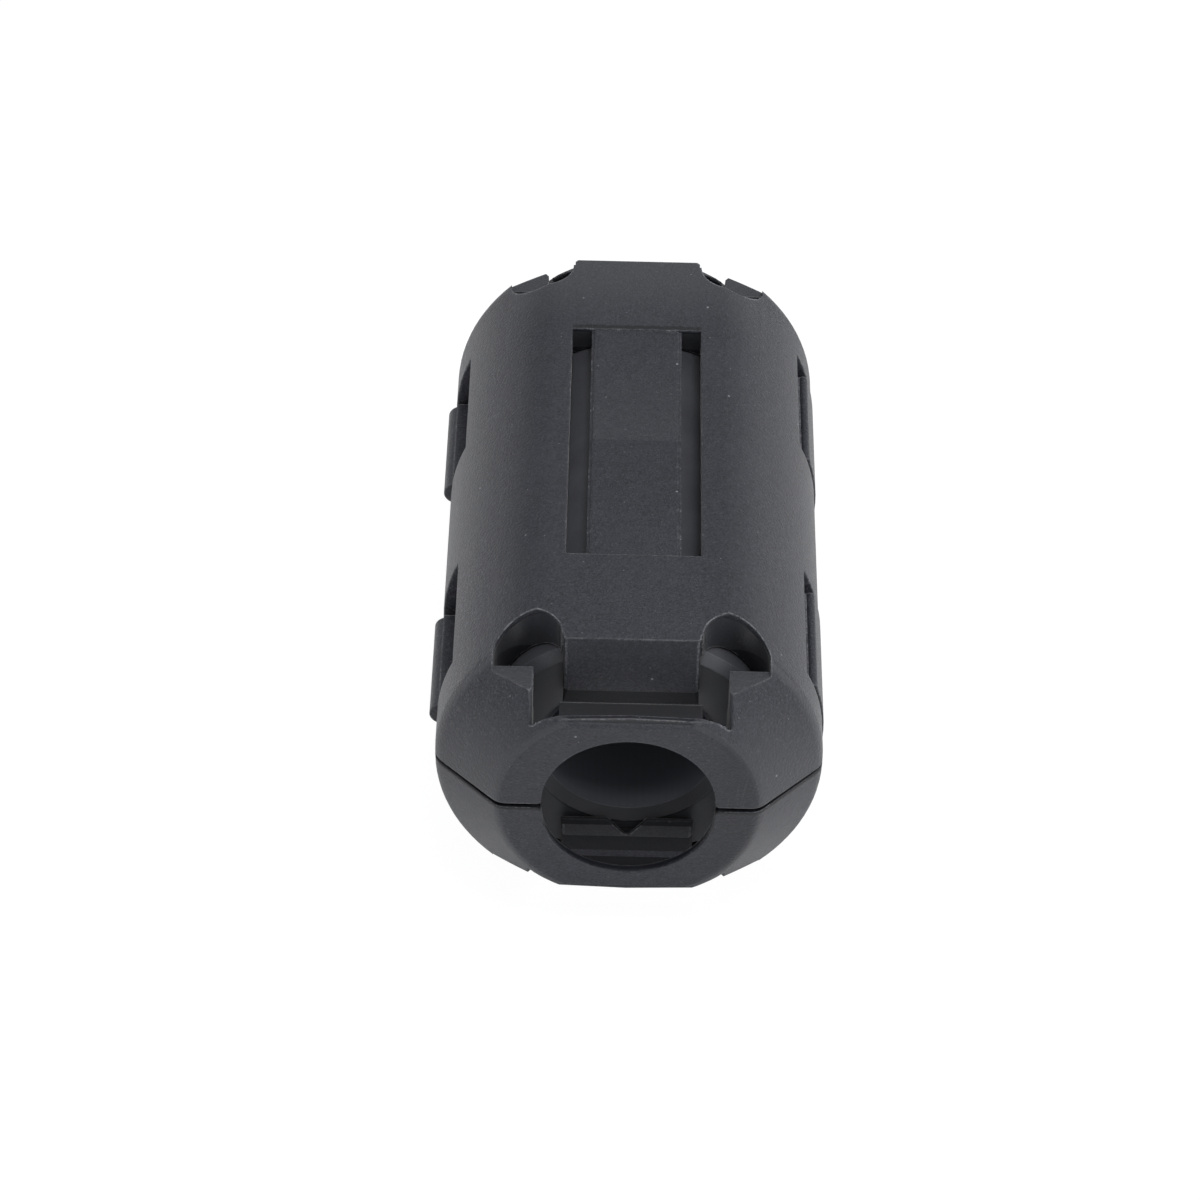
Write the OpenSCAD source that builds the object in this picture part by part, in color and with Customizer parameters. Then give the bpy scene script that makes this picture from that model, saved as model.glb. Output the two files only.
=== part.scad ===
// Clip-on ferrite bead for a round cable.
// Two sintered half cores sit in two moulded nylon half shells. Two folding straps join the shells along
// one long side and two spring tongues latch them along the other. At each end two flaps, of which the lower
// has a notched lip, bear on the cable. A leaf spring in the middle of each half presses its core against
// the other one.
//
// +X is the strap side, Y runs along the cable, and Z is up. The origin is the middle of the cable bore.

/* [Core] */
// Outer diameter of the ferrite core
core_d = 15.8; // [15.0:0.1:16.4]
// Diameter of the bore for the cable
bore_d = 9; // [8.6:0.1:9.4]
// Length of the core along the cable
core_length = 28.8; // [20:0.2:34]
// Chamfer on the round edges of the core
core_chamfer = 0.5; // [0.2:0.05:0.8]
// Play between the core and the shell, all round
core_play = 0.1; // [0.05:0.01:0.2]

/* [Case] */
// Diameter of the closed case, over its round sides
case_d = 20; // [19.6:0.1:22]
// Thickness of the wall over the core, at the flats on top and bottom
flat_wall = 0.9; // [0.7:0.05:1.2]
// Gap between the two shells at the bore
split_gap = 0.3; // [0.1:0.05:0.4]
// How much the gap narrows, on each shell, at the outer sides
split_taper = 0.05; // [0:0.01:0.08]
// Diameter of the hole in each end of the case
hole_d = 8.88; // [8.6:0.02:9.2]
// Rounding where the end hole meets the split
split_corner = 0.25; // [0.1:0.05:0.4]
// Height of the end hole's centre over the shell's split face
hole_rise = 0.18; // [0:0.02:0.24]

/* [Ends] */
// Diameter of the flat ring on each end
collar_d = 13.3; // [12.4:0.1:14.5]
// Length of the sloped end between the round side and the ring
slope_length = 3.3; // [3.0:0.1:4.0]
// Height of the collar's flat above the shell's split face
collar_flat_z = 5.6; // [5.3:0.05:5.8]
// Rounding of the edge round the collar, measured along each side of the edge
collar_round = 0.42; // [0.2:0.02:0.6]
// Rounding of the shoulder between the round side and the slope, measured the same way
shoulder_round = 0.5; // [0.2:0.05:0.6]
// Distance from the end of the core to the start of the slope
slope_start = 0.6; // [0.5:0.05:1.0]
// Thickness of the end wall at the bore
lip_wall = 0.48; // [0.4:0.02:0.7]
// Thickness of the block that backs the end wall, at its top
back_wall = 1.3; // [0.6:0.05:1.4]
// How much thinner that block is at the bore
back_wall_slope = 0.6; // [0:0.05:0.6]
// Height left open between the bore and that block
back_wall_rise = 0.2; // [0.1:0.05:0.6]
// Height of the end wall's rim over the collar's flat, in front of the flap
rim_rise = 0.3; // [0.2:0.01:0.4]
// Width of the raised bead along that rim
rim_width = 0.28; // [0.2:0.02:0.36]
// Depth of the block's top below the rim
rim_step = 0.3; // [0.1:0.02:0.5]
// Depth of the rim at the mouth's corners, below the rim in front of the flap
rim_dip = 0.5; // [0.3:0.02:0.6]
// Rise of the rim in the middle
rim_crown = 0.14; // [0:0.02:0.3]
// How much wider than the flap's root the high part of the rim is, at each side
rim_shoulder = 0.15; // [0.14:0.01:0.3]

/* [Cable flap] */
// Width of the flap
flap_width = 6.9; // [6.5:0.1:7]
// Thickness of the flap at its root
flap_root = 0.7; // [0.6:0.05:0.9]
// Draft of the flap's outer face
flap_draft = 0.05; // [0:0.01:0.2]
// Thickness of the thin lip at the end of the flap
flap_lip = 0.2; // [0.14:0.01:0.26]
// Distance from the flap's back to the back of the lip's free edge
flap_lip_back = 0.36; // [0.1:0.01:0.4]
// Height of the lip
flap_lip_height = 1.02; // [0.9:0.02:1.2]
// How far the flap's edge reaches in past the bore's wall
flap_reach = 0.2; // [0:0.02:0.3]
// Bevel on the outer corners of the flap
flap_bevel = 0.2; // [0.1:0.02:0.3]
// Play between the flap and the end of the core
flap_play = 0.08; // [0.05:0.01:0.15]
// Width of the notch in the lower flap's edge
notch_width = 2.04; // [1.2:0.04:3]
// Width of the notch at its bottom
notch_bottom = 0.28; // [0.2:0.04:0.8]
// Depth of the notch in the lower flap
notch_depth = 0.94; // [0.6:0.02:1]
// Width of the bevel along the mouth's sloped edges
mouth_edge = 0.36; // [0.2:0.02:0.4]
// Width of the end opening that holds the flap
mouth_width = 9.9; // [9.8:0.1:10.4]
// Rounding of that opening's corners, seen from above
mouth_corner = 0.35; // [0.2:0.05:0.6]

/* [Ears] */
// Radius of the rounded opening at each side of the flap
ear_r = 1.73; // [1.5:0.01:1.9]
// Distance from the flap's side to the edge of that rounding
ear_gap = 0.09; // [0.05:0.01:0.15]
// Distance from the start of the slope back to the middle of that rounding
ear_back = 0.25; // [0.1:0.05:0.6]
// Distance from the start of the slope out to the straight end of the opening
ear_front = 0; // [0:0.05:0.4]
// Height above the split to which the opening goes down
ear_floor = 3.6; // [3.2:0.1:4.2]
// Height above the split of the step cut in the slope beside the opening
ear_step = 6.54; // [6.3:0.02:7.1]

/* [Leaf spring] */
// Distance of the window's middle from the bead's middle, away from the near end
window_shift = 0.15; // [0:0.05:0.3]
// Width of the window in the flat
window_width = 7; // [6:0.1:7.6]
// Length of the window
window_length = 18.1; // [14:0.1:20]
// Width of the leaf spring in the window
leaf_width = 4.55; // [3:0.05:5]
// Width of the thin step along each side of the leaf
leaf_edge = 0.16; // [0.1:0.02:0.2]
// Depth of that step
leaf_edge_drop = 0.06; // [0.04:0.01:0.1]
// Depth of the leaf's ends below the flat
leaf_sink = 0.08; // [0.04:0.01:0.15]
// Depth of the leaf's bend below its ends
leaf_dip = 0.32; // [0.2:0.02:0.45]
// Distance of the bend from the bead's middle
leaf_bend_y = 0.5; // [0:0.1:1]
// Thickness of the leaf at its ends
leaf_thick = 0.66; // [0.5:0.02:0.75]
// How far each end of the leaf runs into the roof
leaf_root = 0.2; // [0.1:0.05:0.4]
// Length of the thick foot in the middle that bears on the core
leaf_foot = 1.8; // [1:0.1:3]
// Gap between the foot and the core
leaf_gap = 0.02; // [0.01:0.01:0.05]

/* [Hinge straps] */
// Middle of each strap, from the middle of the bead
strap_middle = 8.86; // [8.6:0.02:9]
// Length of each strap along the case
strap_length = 6.95; // [6:0.05:7.1]
// Thickness of the strap
strap_thick = 0.45; // [0.35:0.01:0.5]
// Height of the fold lines above and below the split plane
fold_height = 3; // [2.6:0.05:3.2]
// How far the strap bulges past the case
strap_bulge = 0.1; // [0:0.01:0.2]
// Extra thickness of the strap at its fold lines
fold_bead = 0.04; // [0:0.01:0.06]
// Clearance round a fold line
fold_play = 0.03; // [0.02:0.01:0.05]
// Thickness of the short leaf that carries the strap
stub_thick = 0.36; // [0.3:0.02:0.4]
// Length of the flat recess round each strap
strap_recess_length = 7.75; // [7.7:0.05:8.2]
// Depth of that recess at the split
strap_recess = 1; // [0.95:0.01:1.1]

/* [Latches] */
// Middle of each latch, from the middle of the bead
latch_middle = 8.63; // [8.5:0.01:8.7]
// Length of each latch tongue along the case
latch_length = 6.55; // [5.5:0.05:6.6]
// Thickness of the tongue
latch_thick = 0.55; // [0.45:0.01:0.6]
// Gap behind the tongue
latch_gap = 0.3; // [0.25:0.01:0.4]
// Depth of the tongue's root below the split plane
latch_root = 4; // [3:0.1:4.4]
// Radius of the rounded grip
grip_r = 0.72; // [0.6:0.01:0.8]
// How far the grip stands out past the case
grip_proud = 0.42; // [0.3:0.01:0.5]
// Height of the grip's middle above the split plane
grip_height = 0.12; // [0:0.01:0.2]
// Height of the tongue's top above the split plane
latch_top = 1; // [0.9:0.01:1.1]
// Lean of the tongue's outer face at its top
latch_draft = 0.06; // [0.05:0.01:0.1]
// Gap at each side of the tongue, in the lower shell
latch_side_gap = 0.25; // [0.2:0.01:0.4]
// Middle of the flat recess in the upper shell over each latch
latch_recess_middle = 8.4; // [8.35:0.01:8.6]
// Length of that recess
latch_recess_length = 7.6; // [7.4:0.05:7.9]
// Depth of that recess at the split
latch_recess = 0.83; // [0.7:0.01:0.9]
// Size of the corners cut along the tongue's nose
nose_corner = 0.15; // [0.05:0.01:0.2]
// Thickness of the catch on the upper shell
catch_thick = 0.4; // [0.3:0.01:0.42]
// How far the tongue's nose reaches in over the catch
catch_grip = 0.4; // [0.25:0.01:0.42]
// Play between the nose and the catch
catch_play = 0.05; // [0.03:0.01:0.08]

/* [Hidden] */
$fn = 96;
nylon = "#3c3c3f";
ferrite = "#2c2e33";
overrun = 1;
seam = 0.01;
root_overlap = 0.4;
corner_steps = 5;
roof_overlap = 1.6;

half_gap = split_gap / 2;
core_r = core_d / 2;
bore_r = bore_d / 2;
hole_r = hole_d / 2;
case_r = case_d / 2;
collar_r = collar_d / 2;
cavity_r = core_r + core_play;
flat_z = cavity_r - half_gap + flat_wall;
cavity_y = core_length / 2 + core_play / 2;
slope_y = core_length / 2 + slope_start;
end_y = slope_y + slope_length;

flap_y = core_length / 2 + flap_play;
flap_edge_z = bore_r - flap_reach - half_gap;
flap_step_z = flap_edge_z + flap_lip_height;
flap_step_y = flap_y + flap_root + flap_draft;
mouth_y = end_y - lip_wall;
back_y = mouth_y - back_wall;
rim_z = collar_flat_z + rim_rise;
rim_half_width = flap_width / 2 + rim_shoulder;

ear_x = flap_width / 2 + ear_gap + ear_r;
slope_ratio = (case_r - collar_r) / slope_length;
slope_way = [collar_r - case_r, slope_length] / norm([collar_r - case_r, slope_length]);
shoulder_end = [case_r, slope_y] + slope_way * shoulder_round;
collar_start = [collar_r, end_y] - slope_way * collar_round;
step_run = (case_r - sqrt(ear_step * ear_step + mouth_width * mouth_width / 4)) / slope_ratio - ear_front;
mouth_low_z = sqrt(pow(collar_r + slope_ratio * lip_wall, 2) - mouth_width * mouth_width / 4);
bevel_run = slope_length - lip_wall - ear_front - step_run;
bevel_angle = atan((ear_step - mouth_low_z) / bevel_run);
bevel_length = bevel_run / cos(bevel_angle) + mouth_edge / 2;
leaf_half = window_length / 2 + leaf_root;
leaf_end_z = flat_z - leaf_sink;
leaf_under_z = leaf_end_z - leaf_thick;
leaf_bend_z = leaf_end_z - leaf_dip;
leaf_foot_z = core_r - half_gap + leaf_gap;

strap_outer_r = case_r + strap_bulge;
strap_inner_r = strap_outer_r - strap_thick;
strap_mid_r = (strap_outer_r + strap_inner_r) / 2;
knuckle_r = (strap_thick + fold_bead) / 2;
fold_x = sqrt(strap_mid_r * strap_mid_r - fold_height * fold_height);
strap_face_x = case_r - strap_recess;
stub_z = fold_height - half_gap;

latch_inner_r = case_r - latch_thick;
grip_x = case_r + grip_proud - grip_r;
latch_face_x = case_r - latch_recess;
catch_x = latch_inner_r - catch_play;
nose_x = catch_x - catch_grip;
nose_z = half_gap + catch_thick + catch_play;

// A shape drawn across the case and run along the cable, centred at y
module along_y(length, y = 0)
    translate([0, y + length / 2, 0])
        rotate([90, 0, 0])
            linear_extrude(height = length)
                children();

// A shape drawn in the Y and Z plane and run across the case, centred on it
module across_x(width)
    translate([-width / 2, 0, 0])
        rotate([90, 0, 90])
            linear_extrude(height = width)
                children();

// Both ends of the bead alike
module both_ends() {
    children();
    mirror([0, 1, 0]) children();
}

// Short curve that rounds a corner, from one point past the corner to another
function soft_corner(from, corner, to) = [
    for (t = [0:1 / corner_steps:1])
        from * pow(1 - t, 2) + corner * 2 * t * (1 - t) + to * pow(t, 2)
];

// Outline of one end of the case from the shoulder to the collar
function end_outline() = concat(
    soft_corner([case_r, slope_y - shoulder_round], [case_r, slope_y], shoulder_end),
    soft_corner(collar_start, [collar_r, end_y], [collar_r - collar_round, end_y])
);

// The closed case turned about the cable, and the flats on its top and ends
module case_round()
    rotate([90, 0, 0])
        rotate_extrude()
            polygon(concat(
                [[0, -end_y]],
                [for (i = [len(end_outline()) - 1:-1:0]) [end_outline()[i][0], -end_outline()[i][1]]],
                end_outline(),
                [[0, end_y]]
            ));

module case_flats()
    across_x(case_d + overrun)
        polygon([
            [-end_y, -overrun], [-end_y, collar_flat_z], [-slope_y, flat_z],
            [slope_y, flat_z], [end_y, collar_flat_z], [end_y, -overrun]
        ]);

// Everything above the split, with the gap narrowing outwards
module above_split()
    along_y(end_y * 2 + overrun)
        polygon([
            [-case_r - overrun, -split_taper], [-collar_r, 0], [collar_r, 0],
            [case_r + overrun, -split_taper],
            [case_r + overrun, case_r], [-case_r - overrun, case_r]
        ]);

// Outline of the half hole in a shell's end, rounded out where it meets the split
module hole_outline() {
    translate([0, hole_rise])
        circle(r = hole_r);
    translate([-hole_r, -overrun])
        square([hole_d, hole_rise + overrun]);
    difference() {
        square([(hole_r + split_corner) * 2, split_corner * 2], center = true);
        for (side = [-1, 1])
            translate([side * (hole_r + split_corner), split_corner])
                circle(r = split_corner);
    }
}

// Rounded opening beside the flap, seen from above
module ear_outline() {
    intersection() {
        translate([ear_x, slope_y - ear_back])
            circle(r = ear_r);
        translate([0, slope_y - ear_back - ear_r])
            square([case_r, ear_r + ear_back + ear_front]);
    }
}

// Bevel on the mouth's long edge, along the slope beside the flap
module mouth_bevel()
    translate([mouth_width / 2, slope_y + ear_front, ear_step])
        translate([0, step_run, 0])
            rotate([-bevel_angle, 0, 0])
                rotate([0, 45, 0])
                    translate([-mouth_edge / 2, -mouth_edge / 2, -mouth_edge / 2])
                        cube([mouth_edge, bevel_length, mouth_edge]);

// Opening for the flap seen from above, from a line across the case out to the end wall
module mouth_outline(from_y) {
    translate([-mouth_width / 2, from_y])
        square([mouth_width, mouth_y - mouth_corner - from_y]);
    translate([mouth_corner - mouth_width / 2, from_y])
        square([mouth_width - mouth_corner * 2, mouth_y - from_y]);
    for (side = [-1, 1])
        translate([side * (mouth_width / 2 - mouth_corner), mouth_y - mouth_corner])
            circle(r = mouth_corner);
}

// Opening at the end that leaves the flap room to bend
module end_mouth() {
    translate([0, 0, -overrun]) {
        linear_extrude(height = cavity_r - half_gap + overrun)
            mouth_outline(cavity_y - seam);
        linear_extrude(height = flat_z + overrun * 3)
            mouth_outline(slope_y - ear_back);
    }
    for (side = [0, 1])
        mirror([side, 0, 0]) {
            translate([0, 0, ear_floor])
                linear_extrude(height = flat_z)
                    ear_outline();
            translate([0, slope_y + ear_front, ear_step])
                cube([ear_x + ear_r, end_y, flat_z]);
            mouth_bevel();
        }
}

// Line of the end wall's rim, lower beside the flap than in front of it
function rim_line(rise) = [
    [-mouth_width / 2, rim_z - rim_dip + rise],
    [-rim_half_width, rim_z + rise], [0, rim_z + rim_crown + rise], [rim_half_width, rim_z + rise],
    [mouth_width / 2, rim_z - rim_dip + rise]
];

// What is cut off above the rim
module rim_cut()
    along_y(slope_length, slope_y + slope_start + slope_length / 2)
        polygon(concat([[-mouth_width / 2, case_r]], rim_line(0), [[mouth_width / 2, case_r]]));

// Raised bead along the rim, kept inside the round outline of the end
module rim_bead()
    intersection() {
        case_round();
        along_y(rim_width, mouth_y + rim_width / 2)
            polygon(concat(rim_line(0), [for (i = [4:-1:0]) rim_line(-rim_rise - rim_crown)[i]]));
    }

// Block behind the end wall, between the bore and the rim
module end_back()
    across_x(rim_half_width * 2)
        polygon([
            [back_y, rim_z - rim_step], [mouth_y + seam, rim_z - rim_step],
            [mouth_y + seam, bore_r + back_wall_rise], [back_y + back_wall_slope, bore_r + back_wall_rise]
        ]);

// Side view of the flap, from the flat down its outer face, round the thin sloping lip and up its back
module flap_outline()
    polygon([
        [cavity_y - roof_overlap, flat_z], [flap_y + flap_root, flat_z],
        [flap_step_y, flap_step_z],
        [flap_y + flap_lip_back + flap_lip, flap_edge_z],
        [flap_y + flap_lip_back, flap_edge_z],
        [flap_step_y - flap_lip, flap_step_z],
        [flap_y, flap_step_z + flap_lip], [flap_y, cavity_r - half_gap],
        [cavity_y - roof_overlap, cavity_r - half_gap]
    ]);

// Flap that bears on the cable, bevelled down both outer corners
module cable_flap()
    intersection() {
        across_x(flap_width)
            flap_outline();
        linear_extrude(height = flat_z + overrun)
            polygon([
                [-mouth_width / 2, 0], [mouth_width / 2, 0],
                [mouth_width / 2, flap_step_y + flap_width / 2 - flap_bevel - mouth_width / 2],
                [flap_width / 2 - flap_bevel, flap_step_y], [flap_bevel - flap_width / 2, flap_step_y],
                [-mouth_width / 2, flap_step_y + flap_width / 2 - flap_bevel - mouth_width / 2]
            ]);
    }

// Notch in the edge of the lower flap
module flap_notch()
    along_y(flap_root * 4, flap_y)
        polygon([
            [-notch_width / 2, flap_edge_z], [-notch_width / 2, 0], [notch_width / 2, 0],
            [notch_width / 2, flap_edge_z],
            [notch_bottom / 2, flap_edge_z + notch_depth], [-notch_bottom / 2, flap_edge_z + notch_depth]
        ]);

// Leaf spring bent down near the middle, with a foot that bears on the core
module leaf_body(width, drop)
    across_x(width)
        polygon([
            [window_shift - leaf_half, leaf_end_z - drop], [leaf_bend_y, leaf_bend_z - drop],
            [window_shift + leaf_half, leaf_end_z - drop], [window_shift + leaf_half, leaf_under_z],
            [leaf_bend_y + leaf_foot, leaf_under_z], [leaf_bend_y + leaf_foot / 2, leaf_foot_z],
            [leaf_bend_y - leaf_foot / 2, leaf_foot_z], [leaf_bend_y - leaf_foot, leaf_under_z],
            [window_shift - leaf_half, leaf_under_z]
        ]);

// The leaf with a thin step along both sides
module leaf_spring() {
    leaf_body(leaf_width, 0);
    leaf_body(leaf_width + leaf_edge * 2, leaf_edge_drop);
}

// Half shell as both halves share it, standing on its split plane
module half_shell() {
    difference() {
        intersection() {
            case_round();
            case_flats();
            above_split();
        }
        translate([0, 0, -half_gap])
            rotate([90, 0, 0])
                cylinder(r = cavity_r, h = cavity_y * 2, center = true);
        along_y(end_y * 2 + overrun)
            hole_outline();
        both_ends() {
            end_mouth();
            rim_cut();
        }
        translate([-window_width / 2, window_shift - window_length / 2, cavity_r / 2])
            cube([window_width, window_length, case_r]);
    }
    leaf_spring();
    both_ends() {
        end_back();
        rim_bead();
        cable_flap();
    }
}

// Flat recesses on one side of a shell, where the straps or latches lie
module side_recess(face_x, middle, length)
    both_ends()
        translate([face_x, middle - length / 2, -overrun])
            cube([case_r, length, case_r]);

// Short leaf that carries a strap at its fold line
module strap_stub()
    both_ends()
        difference() {
            translate([strap_face_x - root_overlap, strap_middle - strap_length / 2, stub_z - stub_thick / 2])
                cube([fold_x - strap_face_x + root_overlap, strap_length, stub_thick]);
            translate([fold_x, strap_middle, stub_z])
                rotate([90, 0, 0])
                    cylinder(r = knuckle_r + fold_play, h = strap_length + overrun, center = true);
        }

// Ledge on the upper shell that the latch hooks over
module catch_ledge()
    both_ends()
        translate([-catch_x, latch_middle - latch_length / 2, -split_taper])
            cube([catch_x - latch_face_x + root_overlap, latch_length, catch_thick + split_taper]);

// Groove above the ledge that takes the nose of the latch
module catch_groove()
    both_ends()
        translate([-latch_face_x - overrun, latch_recess_middle - latch_recess_length / 2, catch_thick])
            cube([
                overrun + latch_face_x - nose_x + catch_play * 2, latch_recess_length,
                latch_top - catch_thick + catch_play * 2
            ]);

// Spring tongue moulded on the lower shell, with a rounded grip and a nose that hooks inwards
module latch_tongue()
    both_ends() {
        intersection() {
            along_y(latch_length, latch_middle)
                difference() {
                    circle(r = case_r);
                    circle(r = latch_inner_r);
                }
            translate([-case_r - overrun, 0, -latch_root - root_overlap - half_gap])
                cube([case_r, end_y, latch_root + root_overlap + half_gap]);
        }
        intersection() {
            along_y(latch_length, latch_middle)
                translate([-grip_x, grip_height])
                    circle(r = grip_r);
            translate([-case_r - overrun, 0, -overrun])
                cube([overrun + latch_thick, end_y, overrun * 3]);
        }
        along_y(latch_length, latch_middle)
            polygon([
                [seam - case_r, -nose_corner], [-latch_inner_r, -nose_corner],
                [-latch_inner_r, nose_z], [-nose_x, nose_z], [-nose_x, latch_top - nose_corner],
                [-nose_x - nose_corner, latch_top], [latch_draft - case_r, latch_top]
            ]);
    }

// Slots that free the tongue from the lower shell
module latch_slot()
    both_ends()
        intersection() {
            along_y(latch_length + latch_side_gap * 2, latch_middle)
                difference() {
                    circle(r = case_r + overrun);
                    circle(r = latch_inner_r - latch_gap);
                }
            translate([-case_r - overrun, 0, -latch_root])
                cube([case_r, end_y, latch_root + overrun]);
        }

// Half of the ferrite core, standing on its ground face
module half_core()
    intersection() {
        rotate([90, 0, 0])
            rotate_extrude()
                polygon([
                    [bore_r + core_chamfer, -core_length / 2],
                    [core_r - core_chamfer, -core_length / 2],
                    [core_r, -core_length / 2 + core_chamfer],
                    [core_r, core_length / 2 - core_chamfer],
                    [core_r - core_chamfer, core_length / 2],
                    [bore_r + core_chamfer, core_length / 2],
                    [bore_r, core_length / 2 - core_chamfer],
                    [bore_r, -core_length / 2 + core_chamfer]
                ]);
        translate([-core_d, -core_length, 0])
            cube([core_d * 2, core_length * 2, core_d]);
    }

// Folding strap that follows the case between its two round fold lines
module strap() {
    intersection() {
        along_y(strap_length)
            difference() {
                circle(r = strap_outer_r);
                circle(r = strap_inner_r);
            }
        translate([0, -strap_length, -fold_height])
            cube([case_d, strap_length * 2, fold_height * 2]);
    }
    for (side = [-1, 1])
        translate([fold_x, 0, side * fold_height])
            rotate([90, 0, 0])
                cylinder(r = knuckle_r, h = strap_length, center = true);
}

module lower_shell()
    color(nylon) {
        difference() {
            translate([0, 0, -half_gap])
                mirror([0, 0, 1])
                    difference() {
                        half_shell();
                        side_recess(strap_face_x, strap_middle, strap_recess_length);
                        both_ends() flap_notch();
                    }
            latch_slot();
        }
        translate([0, 0, -half_gap])
            mirror([0, 0, 1])
                strap_stub();
        latch_tongue();
    }

module upper_shell()
    color(nylon)
        translate([0, 0, half_gap]) {
            difference() {
                half_shell();
                side_recess(strap_face_x, strap_middle, strap_recess_length);
                mirror([1, 0, 0])
                    side_recess(latch_face_x, latch_recess_middle, latch_recess_length);
                catch_groove();
            }
            strap_stub();
            catch_ledge();
        }

module lower_core()
    color(ferrite)
        mirror([0, 0, 1]) half_core();

module upper_core()
    color(ferrite)
        half_core();

module front_strap()
    color(nylon)
        translate([0, -strap_middle, 0]) strap();

module rear_strap()
    color(nylon)
        translate([0, strap_middle, 0]) strap();

lower_shell();
lower_core();
front_strap();
rear_strap();
upper_shell();
upper_core();
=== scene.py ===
import bmesh
import bpy
from mathutils import Matrix, Vector


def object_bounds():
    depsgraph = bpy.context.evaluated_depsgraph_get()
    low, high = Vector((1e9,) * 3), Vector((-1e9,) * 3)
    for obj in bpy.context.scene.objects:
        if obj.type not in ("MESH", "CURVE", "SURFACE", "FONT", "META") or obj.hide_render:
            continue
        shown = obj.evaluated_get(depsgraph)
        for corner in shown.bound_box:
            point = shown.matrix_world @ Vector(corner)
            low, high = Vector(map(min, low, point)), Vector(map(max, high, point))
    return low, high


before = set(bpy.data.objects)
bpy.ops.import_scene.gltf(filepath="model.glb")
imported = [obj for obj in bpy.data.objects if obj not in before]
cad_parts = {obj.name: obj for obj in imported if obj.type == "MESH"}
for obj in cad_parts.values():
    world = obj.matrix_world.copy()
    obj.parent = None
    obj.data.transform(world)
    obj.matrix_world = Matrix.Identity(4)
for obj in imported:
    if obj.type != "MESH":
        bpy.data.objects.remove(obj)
cad_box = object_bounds()
MM = 0.001


# Nylon case.
# One moulding of black nylon: two half shells, two folding straps, spring latches, leaf springs and flaps.
# The mould was spark eroded, which leaves a fine grain, and every outer corner comes out slightly round.

class Value:
    """One socket of a material, with the arithmetic that the finishes need."""

    def __init__(self, finish, socket):
        self.finish = finish
        self.socket = socket

    def _math(self, operation, a, b):
        return self.finish.add("ShaderNodeMath", {"operation": operation}, {0: a, 1: b})

    def __add__(self, other):
        return self._math("ADD", self, other)

    __radd__ = __add__

    def __mul__(self, other):
        return self._math("MULTIPLY", self, other)

    __rmul__ = __mul__

    def __sub__(self, other):
        return self._math("SUBTRACT", self, other)

    def __rsub__(self, other):
        return self._math("SUBTRACT", other, self)

    def __pow__(self, other):
        return self._math("POWER", self, other)

    def __abs__(self):
        return self._math("ABSOLUTE", self, 0.0)

    def __gt__(self, other):
        return self._math("GREATER_THAN", self, other)

    def __lt__(self, other):
        return self._math("LESS_THAN", self, other)

    def lower(self, other):
        return self._math("MINIMUM", self, other)

    def higher(self, other):
        return self._math("MAXIMUM", self, other)

    def between(self, low, high):
        """1 between low and high, 0 outside."""
        return (self > low) * (self < high)

    def ramp(self, start, end):
        """0 before start, 1 past end, and smooth between; end may be the smaller one."""
        return self.finish.add("ShaderNodeMapRange", {"interpolation_type": "SMOOTHSTEP"},
                               {"Value": self, "From Min": start, "From Max": end})


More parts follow.
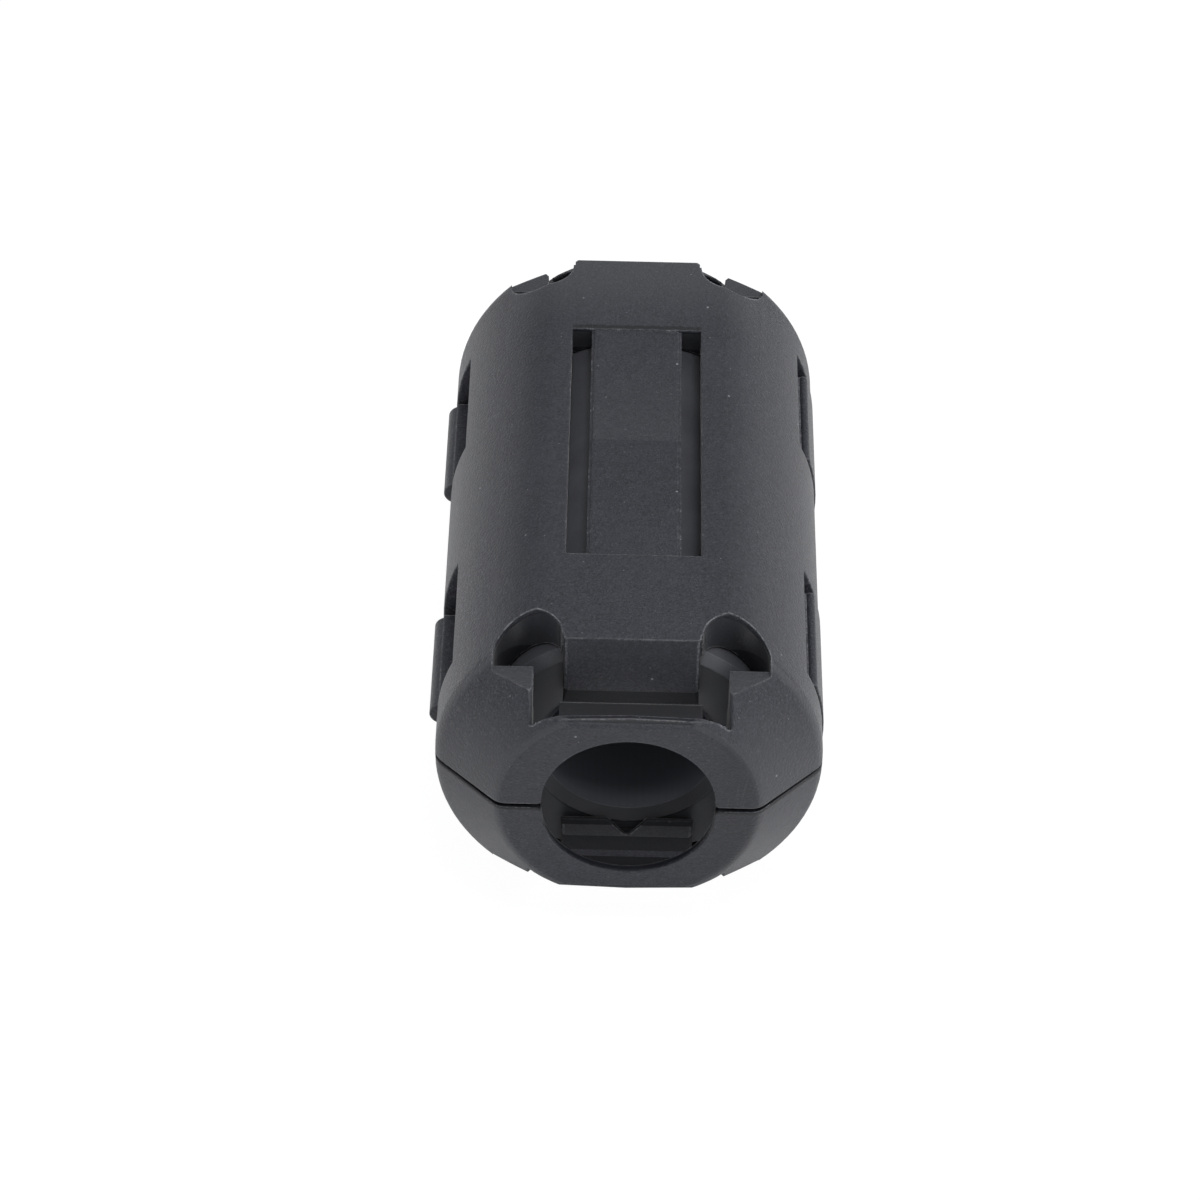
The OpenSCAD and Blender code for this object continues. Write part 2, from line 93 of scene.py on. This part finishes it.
class Finish:
    """A material, or the light of the world, while its nodes are put together."""

    def __init__(self, owner, last="ShaderNodeOutputMaterial", place="Object"):
        self.owner = owner
        self.owner.use_nodes = True
        self.tree = self.owner.node_tree
        self.tree.nodes.clear()
        self.last = self.tree.nodes.new(last)
        self.place = self.add("ShaderNodeTexCoord", output=place)

    def add(self, kind, settings=None, inputs=None, output=0):
        node = self.tree.nodes.new(kind)
        for setting, value in (settings or {}).items():
            setattr(node, setting, value)
        for socket, value in (inputs or {}).items():
            self.feed(node.inputs[socket], value)
        return Value(self, node.outputs[output])

    def feed(self, socket, value):
        if isinstance(value, Value):
            self.tree.links.new(value.socket, socket)
        else:
            socket.default_value = value

    def show(self, shader):
        self.feed(self.last.inputs["Surface"], shader)

    def surface(self, **inputs):
        """The finished skin, from its named inputs, such as base_color."""
        sockets = {}
        for name, value in inputs.items():
            sockets[name.replace("_", " ").title().replace("Ior", "IOR")] = value
        self.show(self.add("ShaderNodeBsdfPrincipled", None, sockets))

    def parts(self, vector):
        """The three parts of a vector."""
        node = self.tree.nodes.new("ShaderNodeSeparateXYZ")
        self.feed(node.inputs[0], vector)
        return [Value(self, socket) for socket in node.outputs]

    def dot(self, a, b):
        return self.add("ShaderNodeVectorMath", {"operation": "DOT_PRODUCT"}, {0: a, 1: b}, output="Value")

    def mix(self, factor, a, b, kind="RGBA"):
        first = {"RGBA": 6, "VECTOR": 4}[kind]
        return self.add("ShaderNodeMix", {"data_type": kind}, {0: factor, first: a, first + 1: b},
                        output={"RGBA": 2, "VECTOR": 1}[kind])

    def noise(self, size, detail=2.0, roughness=0.5, place=None):
        """Soft noise whose lumps are about size metres across."""
        return self.add("ShaderNodeTexNoise", None,
                        {"Vector": place or self.place, "Scale": 1 / size, "Detail": detail,
                         "Roughness": roughness})

    def strokes(self, stretch, turn=(0, 0, 0)):
        """Coordinates in which noise of size 1 is drawn out into strokes, stretch metres each way."""
        return self.add("ShaderNodeMapping", {"vector_type": "TEXTURE"},
                        {"Vector": self.place, "Rotation": turn, "Scale": stretch})

    def specks(self, spread, share, size):
        """Round specks, spread metres apart; only those drawn above share show. Size is a part of spread."""
        grid = {"Vector": self.place, "Scale": 1 / spread, "Randomness": 1.0}
        near = self.add("ShaderNodeTexVoronoi", {"feature": "F1"}, grid, output="Distance")
        kind = self.add("ShaderNodeTexVoronoi", {"feature": "F1"}, grid, output="Color")
        draw = self.add("ShaderNodeSeparateColor", None, {0: kind})
        return (draw > share) * (1 - near.ramp(size * 0.5, size))

    def rounded(self, radius, samples):
        """The normal, with every edge rounded off to radius."""
        return self.add("ShaderNodeBevel", {"samples": samples}, {"Radius": radius})

    def turn(self, rounded):
        """How far the rounded normal leans from the face: 0 on a flat, and more along an edge."""
        return 1 - self.dot(rounded, self.add("ShaderNodeNewGeometry", output="Normal"))


# The outside of both halves. On the sloped ends, radius and distance along add up to SLOPE_SUM.
ROUND_R = 10.0 * MM
FLAT_Z = 8.9 * MM
END_Y = 18.3 * MM
FACE_Y = 18.2 * MM
SLOPE_SUM = 24.95 * MM
SLOPE_EDGE = (0.04 * MM, 0.14 * MM)
SIDE_X = 8.2 * MM
PROUD_X = (9.6 * MM, 9.9 * MM)
EASE_X = (3.9 * MM, 6.6 * MM)
EASE_Z = 7.4 * MM
EASE_END_Y = (14.0 * MM, 14.8 * MM)

# The window with its leaf spring, and the pocket, ears, flap and hole at each end.
TOP_Z = 7.6 * MM
WINDOW_X = 3.62 * MM
WINDOW_Y = 9.4 * MM
LEAF_X = 2.5 * MM
LEAF_Z = 8.0 * MM
LEAF_BEND = (0.5 * MM, 8.0 * MM)
POCKET_X = 3.7 * MM
POCKET_Y = (14.2 * MM, 17.7 * MM)
POCKET_Z = 6.32 * MM
SCOOP_Y = (11.5 * MM, 14.6 * MM)
SCOOP_Z = 6.3 * MM
FACET_Z = (6.5 * MM, 6.9 * MM)
FLAP_X = 3.55 * MM
FLAP_SIDE = 0.30 * MM
FLAP_Y = (15.1 * MM, 15.7 * MM)
FLAP_STEP_Z = 5.32 * MM
FLAP_TIP_Z = 4.2 * MM
FLAP_ROOT_Z = 6.4 * MM
FLAP_TOP_Z = 8.6 * MM
RIM_X = 4.0 * MM
RIM_Z = 5.6 * MM
HOLE_R = 4.9 * MM

# How far below the outside the smooth inside starts, darkened as painted shade, and from where it is painted
# as lying in deep shade.
INSIDE = (0.10 * MM, 0.22 * MM)
DEEP = (0.4 * MM, 1.2 * MM)

# The painted shade in the gap between the halves, and the painted shadow line at the far end of the window.
SEAM_Z = -0.13 * MM
SEAM_HALF = (0.22 * MM, 0.28 * MM)
SEAM_WANDER = 0.12 * MM
EDGE_SHADOW_X = 3.5 * MM
EDGE_SHADOW_Y = 9.20 * MM
EDGE_SHADOW_Z = 8.3 * MM
EDGE_SHADOW_HALF = (0.10 * MM, 0.18 * MM)
EDGE_SHADOW_WANDER = 0.44 * MM

# The far part of the flat, painted paler as a reflection; worn places: nicked left shoulder, and a scuff and
# a smoother patch right of the hole; and where painted glints grow towards the sides.
FAR_REFLECTION_Y = (8.5 * MM, 15.0 * MM)
FAR_REFLECTION_Z = (6.6 * MM, 8.6 * MM)
NICKED_X = (-7.4 * MM, -9.0 * MM)
NICKED_Y = (-1.0 * MM, -6.0 * MM)
NICKED_Z = (0.5 * MM, 2.0 * MM)
SCUFF_X = (5.00 * MM, 6.10 * MM)
SCUFF_Z = (0.20 * MM, 2.80 * MM)
POLISHED_X = (3.5 * MM, 5.5 * MM)
SIDE_GLINT_X = (5.0 * MM, 8.0 * MM)

CORNER_R = 0.17 * MM
CORNER_REACH = 0.22 * MM
GRAIN_DEPTH = 0.070 * MM

GRAIN_DARK = (0.0040, 0.0047, 0.0095, 1)
GRAIN_LIGHT = (0.0450, 0.0475, 0.0620, 1)
SMOOTH_AND_RECESS_SHADE = (0.0140, 0.0150, 0.0200, 1)
SHADED = (0.0100, 0.0106, 0.0140, 1)
CREVICE_SHADE = (0.0030, 0.0032, 0.0045, 1)
PALE = (0.0700, 0.0720, 0.0800, 1)
GLINT_AND_NICK_PALE = (0.150, 0.155, 0.170, 1)
RUBBED_AND_HIGHLIGHT = (0.270, 0.275, 0.295, 1)
DUST = (0.36, 0.37, 0.40, 1)

nylon = Finish(bpy.data.materials.new("case_nylon"))
across, along, height = nylon.parts(nylon.place)
x, y, z = abs(across), abs(along), abs(height)
radius = (x * x + z * z) ** 0.5
upward = abs(nylon.parts(nylon.add("ShaderNodeTexCoord", output="Normal"))[2])
level = upward > 0.9

# Parts of the moulding that differ in finish.
lower_lip = height.between(-FLAP_STEP_Z, -FLAP_TIP_Z)
flap_face = (height > FLAP_STEP_Z).higher(height < -FLAP_ROOT_Z).higher(lower_lip)
flap = y.between(*FLAP_Y) * (x < FLAP_X) * flap_face
leaf = (x < LEAF_X) * level * (z > LEAF_Z)
facet = z.between(*FACET_Z) * level
depth = (ROUND_R - radius).lower(FLAT_Z - z).lower(END_Y - y).lower(SLOPE_SUM - radius - y)
inside = depth.ramp(*INSIDE) * (1 - flap.higher(leaf).higher(facet).higher(x > SIDE_X))
deep = inside * depth.ramp(*DEEP) * (y > POCKET_Y[0]) * (x < POCKET_X)
scoop = inside * y.between(*SCOOP_Y) * (z > SCOOP_Z) * (x > POCKET_X)
end_wall = inside * (y < WINDOW_Y) * (z > TOP_Z) * (x < WINDOW_X)
slope = (1 - abs(SLOPE_SUM - radius - y).ramp(*SLOPE_EDGE)).higher(facet)
wander = nylon.noise(0.5 * MM, 3.0, 0.7) * SEAM_WANDER
seam_shade = (y > POCKET_Y[0]) * (1 - level) * (1 - abs(height - SEAM_Z - wander).ramp(*SEAM_HALF))

# Rounded corners. Where the flat runs into the round sides, the skin eases over.
rounded = nylon.rounded(CORNER_R, 8)
turn = nylon.turn(rounded)
filled = nylon.add("ShaderNodeAmbientOcclusion", {"samples": 8, "inside": True, "only_local": True},
                   {"Distance": CORNER_REACH}, output="AO")
corner = turn.ramp(0.006, 0.08) * (1 - filled).ramp(0.06, 0.34)
eased = nylon.add("ShaderNodeCombineXYZ", None, {0: across * x.ramp(*EASE_X), 2: height})
eased = nylon.add("ShaderNodeVectorTransform",
                  {"vector_type": "NORMAL", "convert_from": "OBJECT", "convert_to": "WORLD"}, {0: eased})
ease = x.between(*EASE_X) * (z > EASE_Z) * (upward > 0.7) * (1 - inside) * (1 - y.ramp(*EASE_END_Y))
rounded = nylon.mix(ease, rounded, eased, "VECTOR")

# Grain of the mould; painted light on the slopes, the far part of the flat and the leaf spring beyond its
# bend, and painted glints over the grain.
flow = nylon.noise(6.0 * MM, 3.0, 0.55)
mottle = nylon.noise(0.45 * MM, 3.0, 0.6)
grit = nylon.noise(0.12 * MM, 2.0, 0.7)
fine = nylon.noise(0.06 * MM, 2.0, 0.65)
grain = (0.12 * flow + 0.16 * mottle + 0.48 * grit + 0.24 * fine).ramp(0.30, 0.70)
skin = nylon.mix(grain, GRAIN_DARK, GRAIN_LIGHT)
far_flat_reflection = height.ramp(*FAR_REFLECTION_Z) * along.ramp(*FAR_REFLECTION_Y)
bend = leaf * (along > LEAF_BEND[0]) * (1 - along.ramp(*LEAF_BEND))
# Painted light: the slopes, the far part of the flat and the leaf spring beyond its bend made paler.
skin = nylon.mix((slope * 0.56).higher(far_flat_reflection * 0.65).higher(bend * 0.22), skin, PALE)
# Painted glints: pale specks over the grain, stronger towards the round sides.
glint = nylon.noise(0.14 * MM, 3.0, 0.85).ramp(0.54, 0.68)
skin = nylon.mix(glint * (0.26 + 0.30 * x.ramp(*SIDE_GLINT_X) * (1 - slope)), skin, GLINT_AND_NICK_PALE)

# Nicks on the shoulder, the smooth inside darkened as painted shade, paler walls as painted light, and
# painted shade in the gap and a painted shadow line at the window.
shoulder = across.ramp(*NICKED_X) * along.ramp(*NICKED_Y) * height.ramp(*NICKED_Z)
nicks = nylon.noise(0.24 * MM, 3.0, 0.80).ramp(0.56, 0.62) * shoulder * (1 - slope * 0.7)
skin = nylon.mix(nicks * 0.60, skin, GLINT_AND_NICK_PALE)
# Painted shade: the inside, partly a smoother finish, is made darker in the recesses and darkest deep in the
# mouth.
skin = nylon.mix(inside, skin, nylon.mix(deep, SMOOTH_AND_RECESS_SHADE, SHADED))
# Painted light: the window's end walls, the backs of the ears and the outer faces of straps and latches made
# paler.
skin = nylon.mix((end_wall * 0.6).higher(scoop * 0.5).higher(x.ramp(*PROUD_X) * 0.35), skin, PALE)
# Painted light: the lip of the lower flap made paler.
skin = nylon.mix(flap * height.between(-FLAP_STEP_Z, 0) * 0.7, skin, PALE)
# Painted shadow line along the window's far edge, and painted shade in the gap between the halves at the
# ends.
ragged = nylon.noise(0.40 * MM, 4.0, 0.8) * EDGE_SHADOW_WANDER
window_edge_shadow = (x < EDGE_SHADOW_X) * (height > EDGE_SHADOW_Z) * (1 - abs(along - EDGE_SHADOW_Y - ragged).ramp(*EDGE_SHADOW_HALF))
skin = nylon.mix(seam_shade.higher(window_edge_shadow * 0.9), skin, CREVICE_SHADE)

# Rubbing beside the hole: a smoother patch with upright strokes over it.
near_face = along < -FACE_Y
skin = nylon.mix(near_face * across.ramp(*POLISHED_X) * 0.50, skin, SMOOTH_AND_RECESS_SHADE)
strokes = nylon.strokes((0.09 * MM, 1.0 * MM, 1.6 * MM), (0, 0.12, 0))
scuff = nylon.noise(1.0, 1.0, 0.5, strokes).ramp(0.55, 0.66) * near_face
skin = nylon.mix(scuff * across.between(*SCUFF_X) * height.between(*SCUFF_Z) * 0.35, skin, PALE)

# Corners pale in patches, partly rubbed wear and partly painted highlight, less so where they are tucked
# away, and dust over all.
patchy = nylon.noise(1.6 * MM, 2.0, 0.5).ramp(0.35, 0.65)
dots = nylon.noise(0.22 * MM, 3.0, 0.8).ramp(0.46, 0.60)
rare = nylon.noise(0.45 * MM, 1.0, 0.5).ramp(0.60, 0.66)
pocket = y.between(*POCKET_Y) * (z < POCKET_Z) * (1 - flap)
end_ring = y > POCKET_Y[1]
window = (x < WINDOW_X) * (y < WINDOW_Y) * (z > TOP_Z) * (1 - rare)
rim = end_ring * (z > RIM_Z) * (x < RIM_X)
tucked = pocket.higher(end_ring * (radius < HOLE_R)).higher(window * 0.9).higher(facet * 0.6)
tucked = tucked.higher(rim * 0.55).higher(flap * (z > FLAP_TOP_Z) * 0.6)
chips_and_highlights = corner * (0.10 + 0.25 * patchy + 0.65 * dots) * (1 - 0.85 * tucked) * (1 - seam_shade)
# Painted highlight along the rounded sides of the flaps.
chips_and_highlights = chips_and_highlights.higher(flap * (x > FLAP_X - FLAP_SIDE) * (0.12 + 0.5 * dots))
skin = nylon.mix(chips_and_highlights, skin, RUBBED_AND_HIGHLIGHT)
dust = nylon.specks(1.3 * MM, 0.66, 0.060).higher(nylon.specks(0.5 * MM, 0.80, 0.090) * 0.6)

relief = nylon.noise(0.16 * MM, 3.0, 0.7) * (1 - 0.8 * inside)
bump = nylon.add("ShaderNodeBump", None, {"Distance": GRAIN_DEPTH, "Height": relief, "Normal": rounded})
nylon.surface(base_color=nylon.mix(dust * 0.8, skin, DUST),
              roughness=0.34 + 0.20 * grit + 0.08 * flow - 0.12 * inside + 0.40 * deep,
              normal=bump, ior=1.53, sheen_weight=0.22, sheen_roughness=0.30)


def coat(finish, *nodes):
    """Gives CAD pieces their finish in place of the plain one."""
    for node in nodes:
        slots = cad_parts[node].data.materials
        slots.clear()
        slots.append(finish.owner)


coat(nylon, "lower_shell", "upper_shell", "front_strap", "rear_strap")


# Half cores.
# Two pressed and sintered halves of grey ferrite with chamfered ends, lapped flat where they meet.
# Each drops into its shell, and the leaf spring there presses it against the other half.

BORE_R = (4.46 * MM, 4.56 * MM)
CHAMFER_R = 5.1 * MM
CHAMFER_Y = 13.8 * MM
CHAMFER_Z = (1.5 * MM, 4.0 * MM)
MATING_Z = 0.2 * MM
CORE_EDGE_R = 0.08 * MM
CORE_GRAIN_DEPTH = 0.004 * MM

SINTERED_DARK = (0.058, 0.060, 0.068, 1)
SINTERED_LIGHT = (0.092, 0.094, 0.104, 1)
BORE_PAINTED_LIGHT = (0.174, 0.185, 0.213, 1)
CORE_SHADED = (0.020, 0.021, 0.025, 1)
LAPPED = (0.170, 0.175, 0.190, 1)
CHIPPED_AND_HIGHLIGHT = (0.200, 0.205, 0.220, 1)

ferrite = Finish(bpy.data.materials.new("core_ferrite"))
across, along, height = ferrite.parts(ferrite.place)
radius = (across * across + height * height) ** 0.5
edges = ferrite.rounded(CORE_EDGE_R, 6)
grain = ferrite.noise(0.06 * MM, 3.0, 0.6)
cloud = ferrite.noise(2.5 * MM, 3.0, 0.5)
in_bore = 1 - radius.ramp(*BORE_R)
end_face_shade = (abs(along) > CHAMFER_Y) * abs(height).ramp(*CHAMFER_Z) * (radius < CHAMFER_R) * (1 - in_bore)
strokes = ferrite.strokes((3.0 * MM, 0.07 * MM, 1.0 * MM))
lapped = (abs(height) < MATING_Z) * ferrite.noise(1.0, 3.0, 0.6, strokes).ramp(0.35, 0.65)
crumbs = ferrite.noise(0.30 * MM, 3.0, 0.8).ramp(0.46, 0.58)
# Edges paler: partly chipped, partly painted highlight.
chips_and_highlights = ferrite.turn(edges).ramp(0.01, 0.10) * (0.15 + 0.85 * crumbs)

stone = ferrite.mix((0.5 * grain + 0.5 * cloud).ramp(0.3, 0.7), SINTERED_DARK, SINTERED_LIGHT)
# Painted light: the bore about 2.4 times as pale as the rest.
stone = ferrite.mix(in_bore, stone, BORE_PAINTED_LIGHT)
# Painted shade: the end faces above and below the bore made darker.
stone = ferrite.mix(end_face_shade * 0.7, stone, CORE_SHADED)
stone = ferrite.mix(lapped * 0.5, stone, LAPPED)
bump = ferrite.add("ShaderNodeBump", None,
                   {"Strength": 0.5, "Distance": CORE_GRAIN_DEPTH, "Height": grain, "Normal": edges})
ferrite.surface(base_color=ferrite.mix(chips_and_highlights * 0.7, stone, CHIPPED_AND_HIGHLIGHT),
                roughness=0.36 + 0.14 * grain + 0.10 * lapped, normal=bump)
coat(ferrite, "lower_core", "upper_core")


# Table and light.
# A white sheet under the bead inside a light tent, brighter in front, to the right and along both sides,
# with a dim opening for the lens. One lamp overhead and two weak ones at the sides soften the shade.

VIEW_RIGHT = Vector((0.999737124, 0.0156261711, 0.0167781167))
VIEW_UP = Vector((-0.0229275915, 0.684204313, 0.728929889))
VIEW_FORWARD = Vector((8.92766e-05, 0.729122953, -0.684382723))
VIEW_FROM = Vector((-1.69103888, -159.35148487, 146.88755282)) * MM
SENSOR = 36
FOCAL = 119.80

lens = bpy.data.cameras.new("camera")
lens.sensor_width = SENSOR
lens.lens = FOCAL
lens.clip_start = 0.01
lens.clip_end = 20
camera = bpy.data.objects.new("camera", lens)
turned = Matrix((VIEW_RIGHT, VIEW_UP, -VIEW_FORWARD)).transposed().to_4x4()
camera.matrix_world = Matrix.Translation(VIEW_FROM) @ turned
bpy.context.scene.collection.objects.link(camera)
bpy.context.scene.camera = camera
bpy.context.scene.view_settings.view_transform = "Standard"

SHEET_SIZE = 3.0
SHEET_GAP = 0.02 * MM
PAPER = (0.70, 0.71, 0.73, 1)
PAPER_GLOW = 1.10
GLOW_SEEN = 0.88
GLOW_MIRRORED = 0.70
UNDER_X = (4.0 * MM, 9.0 * MM)
UNDER_Y = (20.0 * MM, 25.0 * MM)
UNDER_DIM = 0.90

sheet = bmesh.new()
bmesh.ops.create_grid(sheet, x_segments=1, y_segments=1, size=SHEET_SIZE / 2)
bmesh.ops.translate(sheet, verts=sheet.verts, vec=(0, 0, cad_box[0][2] - SHEET_GAP))
sheet_mesh = bpy.data.meshes.new("table")
sheet.to_mesh(sheet_mesh)
sheet.free()
table = bpy.data.objects.new("table", sheet_mesh)
bpy.context.scene.collection.objects.link(table)

paper = Finish(bpy.data.materials.new("table_paper"))
lit = paper.add("ShaderNodeBsdfDiffuse", None, {"Color": PAPER})
glow = paper.add("ShaderNodeEmission", None, {"Color": (1, 1, 1, 1), "Strength": PAPER_GLOW})
to_eye = paper.add("ShaderNodeLightPath", output="Is Camera Ray")
through = paper.add("ShaderNodeLightPath", output="Is Transmission Ray")
mirrored = paper.add("ShaderNodeLightPath", output="Is Glossy Ray")
x, y, _ = [abs(part) for part in paper.parts(paper.place)]
# Painted shadow: in reflections only, the sheet is dimmed under the bead and a little past its ends.
shadow_under = (1 - x.ramp(*UNDER_X)) * (1 - y.ramp(*UNDER_Y))
seen = (to_eye + through) * GLOW_SEEN + mirrored * GLOW_MIRRORED * (1 - UNDER_DIM * shadow_under)
paper.show(paper.add("ShaderNodeMixShader", None, {0: seen, 1: lit, 2: glow}))
sheet_mesh.materials.append(paper.owner)

TENT = (0.965, 0.98, 1.0, 1)
TENT_MIDDLE = 0.47
TENT_LEAN = (0.235, -0.08, 0.0)
SIDE_GLOW = 0.80
SIDE_SPAN = (0.86, 1.0)
OPENING = (0.74, 0.97)
OPENING_DIM = 0.45

tent = Finish(bpy.data.worlds.new("light_tent"), "ShaderNodeOutputWorld", "Generated")
sides = SIDE_GLOW * abs(tent.parts(tent.place)[0]).ramp(*SIDE_SPAN)
opening = tent.dot(tent.place, tuple(-VIEW_FORWARD)).ramp(*OPENING)
brightness = (TENT_MIDDLE + tent.dot(tent.place, TENT_LEAN) + sides) * (1 - OPENING_DIM * opening)
tent.show(tent.add("ShaderNodeBackground", None, {"Color": TENT, "Strength": brightness}))
bpy.context.scene.world = tent.owner


def soft_light(name, place, watts, size=0.20):
    """A round soft box that faces the bead."""
    lamp = bpy.data.lights.new(name, "AREA")
    lamp.shape = "DISK"
    lamp.size = size
    lamp.energy = watts
    stand = bpy.data.objects.new(name, lamp)
    stand.location = place
    stand.rotation_euler = (-Vector(place)).to_track_quat("-Z", "Y").to_euler()
    bpy.context.scene.collection.objects.link(stand)


soft_light("soft_top", (0.05, -0.05, 0.43), 0.72)
soft_light("soft_right", (0.36, -0.08, 0.18), 0.20)
soft_light("soft_left", (-0.36, -0.08, 0.18), 0.08)
